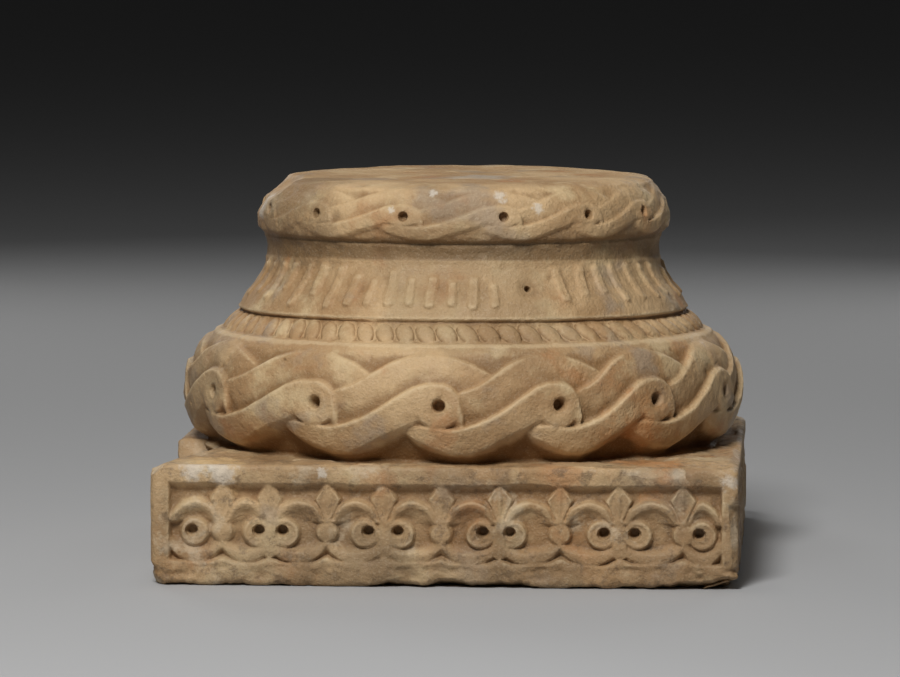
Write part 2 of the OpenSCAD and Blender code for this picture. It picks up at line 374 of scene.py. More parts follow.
on_low = window(rows, 84, 89, 165, 169)[:, None]
on_up = window(rows, 239, 242.5, 276, 281)[:, None]
CHANNEL_DEEP = 4.2
CHANNEL_LIPS = (167.4, 185.2)
cut = low_cut * on_low + up_cut * on_up
cut = cut - CHANNEL_DEEP * window(level, 168.4, 169.6, 183.2, 184.2)
for lip in CHANNEL_LIPS:
    cut = cut + (0.8 + 0.5 * noise(X0, Y0, 0 * Z, 15, 12)) * np.exp(-((level - lip) / 0.8) ** 2)
print("deepest cut: %.1f mm" % -cut.min())

# %% [markdown]
# ## The band of strokes
#
# The scotia carries a raised band.  Here it is a row of plain, narrow,
# upright strokes of uneven height, with one drilled dimple.  They are set by
# length and width alone, and spell nothing.  Each is a soft-edged box on the
# unrolled surface, and where it stands is given as an angle and a height.

# %% Strokes of the scotia
SCOTIA_R = 156.0
STROKE_HIGH = 2.6
DIMPLE_TURN, DIMPLE_Z = 21.5, 209.0
shake = 0.8 * noise(X0, Y0, Z, 24, 23)
shake_up = 1.4 * noise(X0, Y0, Z, 24, 24)


def round_from(t):
    """Distance round the scotia from the angle t, in millimetres."""
    return (theta[None, :] - t) * math.radians(1) * SCOTIA_R


def bar(t, z, width, height, lean=0.0):
    """Raised bar with its middle at angle t and height z, in degrees and mm."""
    across = round_from(t) - lean * (rows[:, None] - z) + shake
    up = rows[:, None] - z + shake_up
    soft = 0.4 * min(width, height)
    past_side = np.maximum(np.abs(across) - width / 2 + soft, 0)
    past_end = np.maximum(np.abs(up) - height / 2 + soft, 0)
    return step(soft - np.hypot(past_side, past_end), -1.5, 1.3)


FRONT_BARS = [
    (-74, 210.5, 6, 28, 0.3), (-66, 212.5, 6, 26, 0.25), (-58.5, 210.5, 6, 28, 0.12),
    (-52, 214.5, 7, 22, 0.1), (-45.5, 208.5, 6, 32, 0.15), (-39, 213.5, 8, 22, 0.05),
    (-32.5, 209.5, 6.5, 30, 0.1), (-26.5, 207.5, 7, 23, 0.1), (-21, 206.5, 6, 20, 0.1),
    (-15.5, 209.5, 7, 26, 0.0), (-10, 207.5, 6, 20, 0.0), (-4.5, 207.5, 7, 23, 0.05),
    (1, 206, 6, 18, 0.0), (6.5, 207.5, 7, 23, 0.05), (12, 205.5, 6, 17, 0.0),
    (31, 211.5, 7, 25, -0.15), (38, 212.5, 8, 22, 0.1), (44.5, 213.5, 7, 20, -0.1),
    (51, 210.5, 7, 27, -0.15), (58, 210.5, 7, 27, -0.2), (65, 209.5, 6, 26, -0.3),
    (72, 210.5, 6, 24, -0.3),
]
BACK_BARS = 23
strokes = np.zeros(T.shape)
for t, z, width, height, lean in FRONT_BARS:
    strokes = np.maximum(strokes, bar(t, z, width, height, lean))
for number in range(BACK_BARS):
    tall = 20 + 6 * math.sin(number * 2.3)
    strokes = np.maximum(strokes, bar(84 + number * 8.4, 195 + tall / 2, 6, tall))
from_dimple = np.hypot(round_from(DIMPLE_TURN), rows[:, None] - DIMPLE_Z)
dished = -1.6 * step(10 - from_dimple, 0, 5)
on_scotia = window(level, 187.5, 189.5, 218, 220)
strokes = strokes * on_scotia * (0.75 + 0.25 * rough(X0, Y0, Z, 40, 21))
rims = strokes - blur(strokes, 2.0 / FINE)
cut = cut + STROKE_HIGH * strokes + 0.6 * rims + dished
print("strokes cover %.0f%% of the scotia" % (100 * strokes[on_scotia > 0.5].mean()))

# %% [markdown]
# ## Weather
#
# Marble softens as it weathers: edges round, faces pit, and the flat bed is
# rough from the pick.  A light blur rounds the edges, and noise at several
# sizes makes the faces waver.  Marks are kept for the colour: how proud each
# place is of what lies near (relief) and very near (rim), how far it is sunk,
# and where the neck is.  They lay earth and painted shade in the hollows, wear
# and a painted highlight on proud edges, and painted shade with a brown crust
# on the neck under the upper torus.

# %% Weather the blank
cut = blur(cut, 0.6 / FINE)
cell = rough(X0, Y0, Z, 14, 31)
grain = rough(X0, Y0, Z, 5, 32, 2)
pits = step(rough(X0, Y0, Z, 9, 41), 0.42, 0.75)
waver = 0.8 * cell + 0.4 * grain - 0.9 * pits
R = R0 + cut + np.where(on_bed[:, None], 0, waver)
bed_rough = 0.9 * rough(X0, Y0, Z, 22, 51, 4) - 1.3 * pits - 0.4
bed_hold = step(rows, 279, 282)[:, None]
Zc = Z + np.minimum(bed_rough, 0.35) * bed_hold
edge_bite = 3.0 * np.clip(rough(X0, Y0, 0 * Z, 26, 61), -0.3, 1)
R = R - edge_bite * step(rows, 272, 281)[:, None] * np.where(on_bed[:, None], step(R0, 118, 134), 1)


def marks(heights):
    """How proud each place is of what lies near and very near, and how far it is sunk."""
    wide, close = blur(heights, 6.5 / FINE), blur(heights, 2.4 / FINE)
    return {"relief": heights - wide, "rim": heights - close, "sunk": -heights}


drum_marks = marks(cut + np.where(on_bed[:, None], bed_rough, waver))
# The neck band is painted dark: painted shade under the overhang of the upper torus, with a brown crust.  The
# rim mark is cleared there, so no painted highlight falls on the neck.
neck_edge = 1.5 * rough(X0, Y0, 0 * Z, 30, 63)
in_neck = step(level + neck_edge, 220.5, 223.5) * step(-Z + neck_edge, -247, -241)
drum_marks["rim"] = drum_marks["rim"] * (1 - in_neck)
drum_marks["band"] = in_neck * (0.85 + 0.3 * rough(X0, Y0, 3 * Z, 24, 64))
drum_x = R * np.sin(T)
drum_y = -R * np.cos(T)
drum_z = np.minimum(Zc, Z_BED)
print("blank weathered, bed between %.1f and %.1f mm" % (drum_z[-20:].min(), drum_z.max()))

# %% [markdown]
# ## What has broken away
#
# The left shoulder of the upper torus is gone, and so are corners and edges
# of the plinth.  A break in marble is a rough plane.  Each one here is a
# point, the way it faces and how rough it is.  Whatever stands beyond the
# plane is pushed back onto it, which keeps the surface closed.

# %% Break tool
def break_off(x, y, z, point, facing, lumps, seed, reach=None, behind=None):
    """Pushes everything beyond a rough plane back onto it.

    `reach` limits the break to a ball, and `behind` ends it at a value of y.
    """
    n = np.array(facing, float)
    n /= np.linalg.norm(n)
    beyond = (x - point[0]) * n[0] + (y - point[1]) * n[1] + (z - point[2]) * n[2]
    beyond = beyond - lumps * rough(x, y, z, 24, seed, 4)
    if reach is not None:
        far = np.sqrt((x - point[0]) ** 2 + (y - point[1]) ** 2 + (z - point[2]) ** 2)
        beyond = beyond - 40 * step(far, reach * 0.75, reach)
    if behind is not None:
        beyond = beyond - 60 * step(y, behind - 10, behind)
    push = np.maximum(beyond, 0)
    return x - n[0] * push, y - n[1] * push, z - n[2] * push, push


drum_breaks = [
    ((-135, -20, 274.5), (-0.56, -0.08, 0.83), 3.6, 71, None),
    ((-149, -20, 262.0), (-0.86, -0.10, 0.50), 3.0, 77, None),
    ((-117, -88, 272.0), (-0.60, -0.50, 0.62), 2.2, 72, 46),
    ((149, 10, 270), (0.78, 0.05, 0.62), 3.4, 73, None),
    ((139, 20, 280), (0.50, 0.05, 0.86), 2.4, 76, None),
    ((30, -142, 279), (0.1, -0.55, 0.83), 1.2, 74, 34),
    ((-40, -140, 279.5), (-0.1, -0.55, 0.83), 1.2, 75, 30),
]
fresh = np.zeros(T.shape)
for point, facing, lumps, seed, reach in drum_breaks:
    drum_x, drum_y, drum_z, push = break_off(drum_x, drum_y, drum_z, point, facing, lumps, seed, reach)
    fresh = np.maximum(fresh, step(push, 0.2, 1.5))
print("broken part of the blank: %.1f%%" % (100 * fresh.mean()))

# %% [markdown]
# ## A closed shell from a grid
#
# Rows and columns become faces, the columns close into a ring, and a fan of
# triangles closes each end.  The same tool serves the blank and the plinth.

# %% Shell tool
def shell(name, x, y, z, notes):
    """A closed mesh from grids whose columns form a ring and rows go upwards.

    `notes` are fields of the same shape, kept on the mesh for the stain.
    """
    m, n = x.shape
    points = np.stack([x, y, z], axis=-1).reshape(-1, 3)
    ends = [points[:n].mean(axis=0), points[-n:].mean(axis=0)]
    points = np.concatenate([points, ends]) * MM
    i = np.arange(n)
    k = (i + 1) % n
    faces = []
    for r in range(m - 1):
        faces += np.stack([r * n + i, r * n + k, (r + 1) * n + k, (r + 1) * n + i], axis=1).tolist()
    faces += np.stack([np.full(n, m * n), k, i], axis=1).tolist()
    faces += np.stack([np.full(n, m * n + 1), (m - 1) * n + i, (m - 1) * n + k], axis=1).tolist()
    mesh = bpy.data.meshes.new(name)
    mesh.from_pydata(points.tolist(), [], faces)
    mesh.validate()
    for note, field in notes.items():
        layer = mesh.attributes.new(note, "FLOAT", "POINT")
        values = np.append(field.ravel(), [field[0].mean(), field[-1].mean()])
        layer.data.foreach_set("value", values.astype(np.float32))
    return show(name, mesh)


drum_marks["fresh"] = fresh
drum = shell("drum", drum_x, drum_y, drum_z, drum_marks)
print("drum:", len(drum.data.polygons), "faces")

# %% [markdown]
# ## The plinth
#
# The plinth is a square slab with worn corners.  It is set out like the
# blank: columns run round the square, and rows run up the side, over the
# upper edge and in across the top.  Each column knows which side it belongs
# to and how far along that side it stands, so one frieze serves all four.

# %% Columns and rows of the plinth
HALF = 210.0
CORNER = 6.0
ON_CORNER = 300.0  # stands for the place along a side of a column on a corner
straight = HALF - CORNER
columns = []
for side in range(4):
    turn = math.radians(90 * side)
    pitch = (0.85 if side == 0 else 1.6) * FINE
    run = np.linspace(-straight, straight, int(2 * straight / pitch))
    arc = np.radians(np.linspace(0, 90, 9)[1:-1])
    px = np.concatenate([run, straight + CORNER * np.sin(arc)])
    py = np.concatenate([np.full(len(run), -HALF), -straight - CORNER * np.cos(arc)])
    nx = np.concatenate([np.zeros(len(run)), np.sin(arc)])
    ny = np.concatenate([-np.ones(len(run)), -np.cos(arc)])
    c, s = math.cos(turn), math.sin(turn)
    place_along = np.concatenate([run, np.full(len(arc), ON_CORNER)])
    columns.append(np.stack([
        px * c - py * s, px * s + py * c, nx * c - ny * s, nx * s + ny * c,
        place_along, np.full(len(px), float(side)),
    ]))
col_x, col_y, col_nx, col_ny, col_s, col_side = np.concatenate(columns, axis=1)

side_z = np.arange(4.5, 84.0, 0.85 * FINE)
top_in = np.concatenate([np.arange(4.5, 70, 1.7 * FINE), np.arange(70, 95, 4.0)])
row_in = np.concatenate([[5.0, 2.4, 0.8], np.zeros(len(side_z)), [0.4, 1.3, 2.8], top_in])
row_up = np.concatenate([[0.0, 0.7, 2.4], side_z, [85.6, 87.0, 87.8], np.full(len(top_in), Z_PLINTH)])
on_top = (row_in > 2) & (row_up > 50)
S = np.broadcast_to(col_s[None, :], (len(row_up), len(col_s)))
U = np.broadcast_to(row_up[:, None], S.shape)
SIDE = col_side[None, :] * 50.0  # gives each side noise of its own
print("plinth:", len(row_up), "rows by", len(col_s), "columns")

# %% [markdown]
# ## The frieze
#
# Nine pointed leaves stand along each side.  Between two leaves an arch
# springs above and a loop hangs below.  Every other leaf stands on a stem
# between two volutes that curl round drilled eyes, and the leaves between
# stand on a disc.  As on the tori, each motif is a depth below the face and
# the highest one wins.  The hidden sides have the same frieze, cut shallower.

# %% Motifs of the frieze
GROUND = -7.4
LEFT_END, RIGHT_END = -197.5, 198.5
HEAD_Z, FOOT_Z = 75.0, 16.6
ARCH_Z, ARCH_RISE = 46.5, 15.3
LOOP_Z, LOOP_DROP = 35.5, 18.2
VOLUTE_Z, VOLUTE_R = 38.4, 9.5
DISC_Z, DISC_R = 38.8, 7.0
TIPS = [-158.7, -124.8, -82.9, -41.8, -1.8, 40.4, 83.7, 125.6, 171.0]
VOLUTES = [
    (-180.3, 1), (-132.2, -1), (-115.3, 1), (-53.7, -1), (-32.5, 1), (28.3, -1), (47.4, 1),
    (114.6, -1), (136.5, 1), (182.4, 1),
]
STATIONS = [-197.0] + TIPS + [198.0]
leaf_half = curve([
    (44, 1.4), (48, 1.8), (52, 3.2), (56, 4.9), (60, 7.0), (63, 8.5), (66, 6.3), (73.8, 0.0),
], 0.3)
stem_half = curve([
    (20.5, 0.5), (22.5, 4.5), (25, 6.5), (29, 4.6), (33, 3.8), (42, 3.4), (52, 2.4),
], 0.6)


def raised(inside, top, wall=2.6):
    """A flat motif with a steep wall: `inside` is the way in from its outline."""
    return np.minimum(top, top + wall * inside)


def arch(x, z, mid, half):
    """An arch springing from two leaves: a rim, a hollow face and a crease."""
    span, rise = np.abs(x - mid) / half, np.maximum(z - ARCH_Z, 0) / ARCH_RISE
    inward = (1 - (span ** 1.6 + rise ** 1.6) ** (1 / 1.6)) * ARCH_RISE
    face = through([
        (0, -1.3), (1.4, -1.0), (4.6, -2.1), (5.6, -3.8), (8.0, -5.4), (13.0, GROUND),
    ], inward)
    return np.minimum(face, -1.3 + 2.6 * inward) - 2.0 * np.maximum(ARCH_Z - z, 0)


def loop(x, z, mid, half):
    """A crescent hanging below: its upper side slopes into the ground."""
    low = np.maximum(LOOP_Z - z, 0)
    outer = (1 - np.hypot((x - mid) / (half + 1.2), low / LOOP_DROP)) * 16
    inner = (np.hypot((x - mid) / max(half - 4.5, 4), low / 8.0) - 1) * 9.0
    return np.minimum(raised(outer, -1.2), -5.6 + 1.15 * inner) - 2.0 * np.maximum(z - 33.5, 0)


def volute(x, z, x0, side):
    """A round curl whose drilled eye lies off its middle."""
    r = np.hypot(x - x0 - 1.7 * side, z - VOLUTE_Z)
    dish = through([(4.0, -2.3), (5.6, -2.5), (6.3, -3.3), (7.0, -1.9)], r)
    return np.minimum(dish, raised(VOLUTE_R - r, -1.6, 3.0))


def frieze(x, z):
    """Depth below the face at x along the side and height z."""
    head = HEAD_Z + 0.7 * noise(x, 0, 0, 30, 91)
    best = GROUND * np.clip((head - z) / 6.5, 0, 1) ** 0.8
    for a, b in zip(STATIONS[:-1], STATIONS[1:]):
        near = (x > a - 3) & (x < b + 3)
        mid, half = (a + b) / 2, (b - a) / 2
        best = np.where(near, np.maximum(best, arch(x, z, mid, half)), best)
        best = np.where(near & (z < 39), np.maximum(best, loop(x, z, mid, half)), best)
    for number, x0 in enumerate(TIPS):
        dx = np.abs(x - x0)
        inside = leaf_half(z) - dx
        across = np.clip(dx / np.maximum(leaf_half(z), 0.5), 0, 1)
        leaf = raised(inside * 0.85, -1.2 - 1.8 * (1 - (2 * across - 1) ** 2), 4.0)
        groove = GROUND * 0.55 * np.exp(-((inside + 1.5) / 1.3) ** 2)
        best = np.where((z > 48) & (z < 72), np.minimum(best, groove), best)
        best = np.maximum(best, np.where((z > 44) & (z < 75), leaf, GROUND))
        if number % 2:
            stem = raised(stem_half(z) - dx, -1.4)
            best = np.maximum(best, np.where((z > 19) & (z < 50), stem, GROUND))
        else:
            r = np.hypot(dx, z - DISC_Z)
            best = np.maximum(best, raised(DISC_R - r, -0.9 - 0.6 * step(r, 4.0, 6.5), 3.0))
    for x0, side in VOLUTES:
        best = np.maximum(best, volute(x, z, x0, side))
    foot = FOOT_Z + 1.2 * noise(x, 0, 0, 22, 92)
    for x0 in TIPS:
        foot = foot + 3.8 * np.exp(-((x - x0) / 6.5) ** 2)
    best = np.maximum(best, GROUND * np.clip((z - foot) / 1.6, 0, 1))
    to_end = np.minimum(x - LEFT_END, RIGHT_END - x)
    best = np.maximum(best, np.clip(GROUND * to_end / 1.6, GROUND, 0))
    return np.where(to_end < 0, 0, best)


HIDDEN_DEEP = 0.8
bend_x = 0.8 * noise(S, U, SIDE, 28, 95)
bend_z = 0.7 * noise(S, U, SIDE, 31, 96)
carved = frieze(S + bend_x, U + bend_z)
carved = np.where(S == ON_CORNER, 0, carved)
carved = carved * np.where(col_side[None, :] == 0, 1.0, HIDDEN_DEEP)
soft = step(rough(S, U, SIDE, 34, 97), -0.1, 0.5)
carved = blur(carved, 0.55 / FINE) * (1 - soft) + blur(carved, 1.1 / FINE) * soft
carved = carved * ((row_up > 5) & (row_up < 84) & (row_in < 0.1))[:, None]
print("frieze cut %.1f mm deep" % -carved.min())

# %% [markdown]
# ## Edges and surfaces of the plinth
#
# The lower edge is ragged and stands clear of the floor in places, the upper
# edge is chipped, and the top is rough from the point.  Wear is written as
# how far the edge has been eaten, and noise along the perimeter makes it
# uneven.  A row over the upper edge never lies further out than the row below
# it, so the surface can't fold over itself there.

# %% Shape the plinth
EDGE_IN_MOST = 22  # how far the ragged lower edge may be eaten inwards
BX = np.broadcast_to(col_x[None, :], S.shape)
BY = np.broadcast_to(col_y[None, :], S.shape)
ragged = 1.6 + 5.5 * rough(BX, BY, 0 * BX, 42, 101) + 3.0 * rough(BX, BY, 0 * BX, 12, 102)
front_ragged = through([
    (-210, 3), (-196, 1.5), (-150, 0.2), (120, 0.0), (150, 1.5), (170, 6), (205, 9), (ON_CORNER, 8),
], S)
right_ragged = through([(-210, 9), (-185, 7), (-140, 0), (ON_CORNER, 0)], S)
ragged = ragged + np.where((col_side == 0)[None, :], front_ragged, 1)
ragged = ragged + np.where((col_side == 1)[None, :], right_ragged, 0)
ragged = np.clip(ragged, 0.3, 12)
eaten_low = np.minimum(2.6 * np.maximum(ragged - U, 0), EDGE_IN_MOST) * (row_up < 14)[:, None]
upper_wear = 2.0 + 3.0 * rough(BX, BY, 0 * BX, 38, 103) + 2.0 * rough(BX, BY, 0 * BX, 9, 104)
upper_wear = np.clip(upper_wear, 0.2, 5)
eaten_high = np.maximum(upper_wear - (Z_PLINTH - U), 0) * ((row_up > 80) & (row_in < 3))[:, None]
inset = row_in[:, None] + eaten_low + eaten_high
high = row_up > 80
creep = 0.05 * np.arange(high.sum())[:, None]
inset[high] = np.maximum.accumulate(inset[high] - creep, axis=0) + creep
shrink = np.where(on_top[:, None], 1 - inset / HALF, 1.0)
side_in = np.where(on_top[:, None], 0, inset)
slab_x = BX * shrink + col_nx[None, :] * (carved - side_in)
slab_y = BY * shrink + col_ny[None, :] * (carved - side_in)
slab_z = U.copy()

skin = 0.9 * rough(BX, BY, U, 16, 111) + 0.5 * rough(slab_x, slab_y, U, 5, 112, 2)
low_band = step(-U, -18, -13) * (row_up > 0)[:, None]
skin = skin + low_band * (4.2 * rough(BX, BY, 1.6 * U, 13, 114) - 1.2)
skin_pits = step(rough(slab_x, slab_y, U, 8, 113), 0.45, 0.8)
face = skin + 0.5 - 0.9 * skin_pits
side_rows = (~on_top & (row_up > 2))[:, None]
slab_x = slab_x + col_nx[None, :] * face * side_rows
slab_y = slab_y + col_ny[None, :] * face * side_rows
top_rough = 3.2 * rough(slab_x, slab_y, 0 * BX, 30, 121, 4) + 1.2 * rough(slab_x, slab_y, 0 * BX, 7, 122)
fade = step(row_in, 1.0, 12.0)[:, None] * on_top[:, None]
slab_z = slab_z + (np.minimum(top_rough, 1.2) - 1.3) * fade - 0.6 * (row_up > 86)[:, None]

slab_breaks = [
    ((-205, -206, 82.5), (-0.66, -0.40, 0.70), 2.4, 131, 44),
    ((-210, -50, 70), (-0.36, 0.09, 1.0), 2.2, 132, None, -42),
    ((-207, -207, 8), (-0.62, -0.45, -0.62), 1.6, 133, 30),
    ((207, -207, 38), (0.75, -0.66, 0.05), 1.6, 134, 30),
    ((207.5, -207, 85), (0.6, -0.5, 0.68), 1.6, 135, 36),
    ((186, 186, 73), (0.52, 0.52, 0.68), 3.0, 136, None),
    ((-190, 196, 74), (-0.50, 0.45, 0.75), 2.6, 137, None),
    ((150, -210, 81), (0.03, -0.86, 0.52), 1.6, 138, 30),
    ((205, -120, 86), (0.5, 0.0, 0.86), 2.4, 139, 60),
]
slab_fresh = np.zeros(S.shape)
for point, facing, lumps, seed, *limits in slab_breaks:
    slab_x, slab_y, slab_z, push = break_off(slab_x, slab_y, slab_z, point, facing, lumps, seed, *limits)
    slab_fresh = np.maximum(slab_fresh, step(push, 0.2, 1.5))
slab_x = np.clip(slab_x, -HALF, HALF)
slab_y = np.clip(slab_y, -HALF, HALF)
slab_z = np.maximum(slab_z, 0)
slab_marks = marks(carved + np.where(on_top[:, None], top_rough, skin - skin_pits))
# On the frieze, the earth and painted shade of the hollows and the wear and painted highlight on the rims are
# kept softer, since the carving's own shading gives the form.
slab_marks["relief"] = 0.65 * slab_marks["relief"]
slab_marks["rim"] = 0.6 * slab_marks["rim"]
slab_marks["fresh"] = slab_fresh
slab = shell("slab", slab_x, slab_y, slab_z, slab_marks)
print("slab:", len(slab.data.polygons), "faces")

# %% [markdown]
# ## One block
#
# The drum is sunk into the slab, and a boolean union makes one closed skin of
# the two.  The skin is far denser than it needs to be on plain faces, so a
# Decimate modifier thins it, keeping triangles where the carving turns.

# %% Join and thin
def bake(thing):
    """Makes a thing's modifiers its plain mesh."""
    graph = bpy.context.evaluated_depsgraph_get()
    mesh = bpy.data.meshes.new_from_object(thing.evaluated_get(graph))
    thing.modifiers.clear()
    old = thing.data
    thing.data = mesh
    bpy.data.meshes.remove(old)
    return thing


def combine(thing, other, how):
    """Unites two closed things, or cuts the second from the first."""
    tool = thing.modifiers.new(how, "BOOLEAN")
    tool.operation = how
    tool.object = other
    tool.solver = "MANIFOLD"
    bake(thing)
    bpy.data.objects.remove(other)
    return thing


def triangles(thing):
    """How many triangles a thing's faces make."""
    return sum(len(p.vertices) - 2 for p in thing.data.polygons)


BUDGET = 166000
block = combine(drum, slab, "UNION")
block.name = "column_base_stone"
before = triangles(block)
thin = block.modifiers.new("thin", "DECIMATE")
thin.ratio = min(1.0, BUDGET / before)
bake(block)
print("block: %d triangles thinned to %d" % (before, triangles(block)))

# %% [markdown]
# ## Node helpers
#
# The next pieces are made by Geometry Nodes, and the finish by a material's
# nodes.  Both kinds of tree are built the same way here: a node is added, its
# settings are given, and each of its sockets gets a value or a wire.  The
# helpers work on the tree in hand, which is always called `tree`.

# %% Helpers for node trees
def add(kind, wires=None, **settings):
    """Adds a node to the tree in hand; `wires` gives each input a value or a socket."""
    node = tree.nodes.new(kind)
    for name, value in settings.items():
        setattr(node, name, value)
    for name, value in (wires or {}).items():
        if isinstance(value, bpy.types.NodeSocket):
            tree.links.new(value, node.inputs[name])
        else:
            node.inputs[name].default_value = value
    return node


def calc(how, a, b=0.0, c=0.0):
    """One step of arithmetic."""
    return add("ShaderNodeMath", {0: a, 1: b, 2: c}, operation=how).outputs[0]


def times(a, b):
    """The product of two values."""
    return calc("MULTIPLY", a, b)


def plus(a, b):
    """The sum of two values."""
    return calc("ADD", a, b)


def vector(**parts):
    """A vector from its X, Y and Z, with 0 for what isn't given."""
    return add("ShaderNodeCombineXYZ", parts).outputs[0]


def part_of(whole, axis):
    """The X, Y or Z of a vector."""
    return add("ShaderNodeSeparateXYZ", {0: whole}).outputs[axis]


def ramp(value, low, high, start=0.0, end=1.0):
    """A soft ramp from `start` at `low` to `end` at `high`."""
    wires = {"Value": value, "From Min": low, "From Max": high, "To Min": start, "To Max": end}
    return add("ShaderNodeMapRange", wires, interpolation_type="SMOOTHSTEP").outputs[0]


def new_tree(name, sockets):
    """An empty Geometry Nodes tree with named inputs."""
    tree = bpy.data.node_groups.new(name, "GeometryNodeTree")
    tree.interface.new_socket("Geometry", in_out="INPUT", socket_type="NodeSocketGeometry")
    for label, kind in sockets.items():
        tree.interface.new_socket(label, in_out="INPUT", socket_type="NodeSocket" + kind)
    tree.interface.new_socket("Geometry", in_out="OUTPUT", socket_type="NodeSocketGeometry")
    return tree, tree.nodes.new("NodeGroupInput").outputs


def position():
    """Where each point of a mesh is."""
    return add("GeometryNodeInputPosition").outputs[0]


def keep_mark(mesh, name, value):
    """Keeps a value on a mesh for the stain."""
    wires = {"Geometry": mesh, "Name": name, "Value": value}
    return add("GeometryNodeStoreNamedAttribute", wires).outputs[0]


def close_tree(instances, material):
    """Ends the tree in hand: instances become real mesh with a material."""
    real = add("GeometryNodeRealizeInstances", {"Geometry": instances}).outputs["Geometry"]
    done = add("GeometryNodeSetMaterial", {"Geometry": real, "Material": material}).outputs["Geometry"]
    add("NodeGroupOutput", {"Geometry": done})


def grow(name, mesh, values):
    """Runs the tree in hand on a mesh with given inputs and bakes the result."""
    thing = show(name, mesh)
    maker = thing.modifiers.new(name, "NODES")
    maker.node_group = tree
    for item in tree.interface.items_tree:
        if item.item_type == "SOCKET" and item.in_out == "INPUT" and item.name in values:
            maker[item.identifier] = values[item.name]
    return bake(thing)


stone = bpy.data.materials.new("weathered_marble")
stone.use_nodes = True
block.data.materials.clear()
block.data.materials.append(stone)
print("helpers ready")

# %% [markdown]
# ## The cable moulding
#
# In the flat channel between the lower torus and the scotia lies a rope of
# slanted beads.  Seventy-two beads stand five degrees apart on a sloping
# ring, each a little different, as a carver repeats by eye.  One low sphere
# is enough for each, and the tree places, leans and flattens it.  The tree's
# inputs come first, with the random numbers that make the beads uneven.

# %% Inputs of the rope
tree, given = new_tree("rope_of_beads", {
    "Beads": "Int", "Ring radius": "Float", "Ring height": "Float", "Slope": "Float", "Width": "Float",
    "Length": "Float", "Depth": "Float", "Lean": "Float", "Front lift": "Float",
    "Unevenness": "Float", "Seed": "Int", "Material": "Material",
})


def chance(low, high, step_on):
    """A random number for each bead."""
    wires = {"Min": low, "Max": high, "Seed": plus(given["Seed"], step_on)}
    return add("FunctionNodeRandomValue", wires).outputs["Value"]


def uneven(value, step_on):
    """A size that varies a little from bead to bead."""
    amount = times(chance(-1.0, 1.0, step_on), given["Unevenness"])
    return times(value, plus(amount, 1.0))


def half_of(value, step_on):
    """Half an uneven size, because the sphere is two units across."""
    return times(uneven(value, step_on), 0.5)


def euler(**angles):
    """A rotation by angles about X, Y and Z."""
    return add("FunctionNodeEulerToRotation", {0: vector(**angles)}).outputs[0]


def then_turn(first, second):
    """A rotation followed by another about the axes that the first has turned."""
    wires = {0: first, 1: second}
    return add("FunctionNodeRotateRotation", wires, rotation_space="LOCAL").outputs[0]


print("inputs of the rope:", len(given) - 1)

# %% [markdown]
# ### Placing the beads
#
# A bead's number gives its place on the ring, which rises towards the front
# like the mouldings beside it.  Each bead turns to face outwards, leans back
# with the slope, and leans along the rope, more on one side than the other.

# %% Beads of the rope
BEAD_SIDES, BEAD_RINGS = 12, 8
count = add("GeometryNodeInputIndex").outputs[0]
turned = times(calc("DIVIDE", count, given["Beads"]), 2 * math.pi)
sine = calc("SINE", turned)
cosine = calc("COSINE", turned)
front_share = calc("POWER", calc("MULTIPLY_ADD", cosine, 0.5, 0.5), 3.0)
risen = times(front_share, given["Front lift"])
place = vector(
    X=times(sine, given["Ring radius"]),
    Y=times(times(cosine, given["Ring radius"]), -1.0),
    Z=plus(risen, given["Ring height"]),
)
points = add("GeometryNodePoints", {"Count": given["Beads"], "Position": place}).outputs[0]
ball = add("GeometryNodeMeshUVSphere", {"Segments": BEAD_SIDES, "Rings": BEAD_RINGS})
# The relief mark falls from each bead's outer face to its sides and back, so the earth-and-shade layer paints
# shade between the beads.
outward = part_of(position(), "Y")
proud = calc("MULTIPLY_ADD", outward, -5.4, -4.0)
ball = keep_mark(ball.outputs["Mesh"], "relief", proud)
lean = calc("MULTIPLY_ADD", sine, 0.22, given["Lean"])
lean = times(uneven(lean, 9), -1.0)
slope = times(given["Slope"], -1.0)
turn_to = then_turn(then_turn(euler(Z=turned), euler(X=slope)), euler(Y=lean))
bead_size = vector(
    X=half_of(given["Width"], 1), Y=half_of(given["Depth"], 2), Z=half_of(given["Length"], 3))
beads = add("GeometryNodeInstanceOnPoints", {
    "Points": points, "Instance": ball, "Rotation": turn_to, "Scale": bead_size}).outputs[0]
close_tree(beads, given["Material"])

rope = grow("rope", bpy.data.meshes.new("rope"), {
    "Beads": 72, "Ring radius": 0.1724, "Ring height": 0.1736, "Slope": math.radians(45), "Width": 0.0153,
    "Length": 0.0238, "Depth": 0.0088, "Lean": 0.54, "Front lift": 0.0033, "Unevenness": 0.06, "Seed": 12,
    "Material": stone,
})
print("rope:", triangles(rope), "triangles")
combine(block, rope, "UNION")

# %% [markdown]
# ## Drilled eyes
#
# The carver marked each eye of the plaits and each volute of the frieze with
# a drill.  A drill leaves a hole that narrows a little, and wear opens its
# mouth.  One bit is made from a short line whose thickness follows that
# profile.  Points hold where each hole is, which way it goes, how wide it is
# and how deep, and the tree puts a bit on every point.

